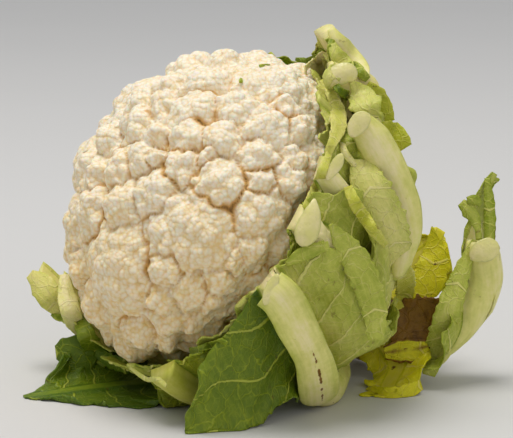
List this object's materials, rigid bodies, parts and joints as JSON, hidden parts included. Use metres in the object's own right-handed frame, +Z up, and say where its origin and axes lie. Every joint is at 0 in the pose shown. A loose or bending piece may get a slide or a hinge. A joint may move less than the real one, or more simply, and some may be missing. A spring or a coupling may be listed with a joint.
{
  "type": "cauliflower",
  "caption": "Cauliflower head lying on its side on its own leaves: a knobbly rounded curd, a short cut stalk, and trimmed wrapper leaves with thick ribs and torn, waved edges.",
  "frame": {"origin": "centre of the bounding box, on the surface the head lies on", "axes": "+Z up, +X along the longest extent, from the curd's side to the splayed leaf by the stalk; the curd's face looks to -X, -Y and up, and the picture is taken from -Y"},
  "size_m": [0.2334, 0.1916, 0.1744],
  "materials": {
    "curd": "matte",
    "stalk": "matte",
    "leaf_green": "satin",
    "leaf_dark": "satin",
    "leaf_bright": "satin",
    "leaf_pale": "satin",
    "leaf_yellow_green": "satin",
    "leaf_yellow": "satin"
  },
  "bodies": {
    "root": {"curd": "curd", "stalk": "stalk", "leaf_collar_upper": "leaf_pale", "leaf_collar_front": "leaf_pale", "leaf_collar_lower": "leaf_green", "leaf_collar_back": "leaf_pale", "leaf_collar_top": "leaf_green", "leaf_left_inner": "leaf_pale", "leaf_inner_right": "leaf_green", "leaf_back_lower": "leaf_green", "leaf_top": "leaf_green", "leaf_inner_front": "leaf_green", "leaf_upper": "leaf_bright", "leaf_back_upper": "leaf_green", "leaf_left": "leaf_yellow_green", "leaf_floor": "leaf_dark", "leaf_lower": "leaf_yellow_green", "leaf_right": "leaf_pale", "leaf_back": "leaf_pale", "leaf_front": "leaf_dark", "leaf_wilted_upper": "leaf_yellow", "leaf_wilted_lower": "leaf_yellow", "leaf_splayed": "leaf_pale"}
  },
  "joints": []
}
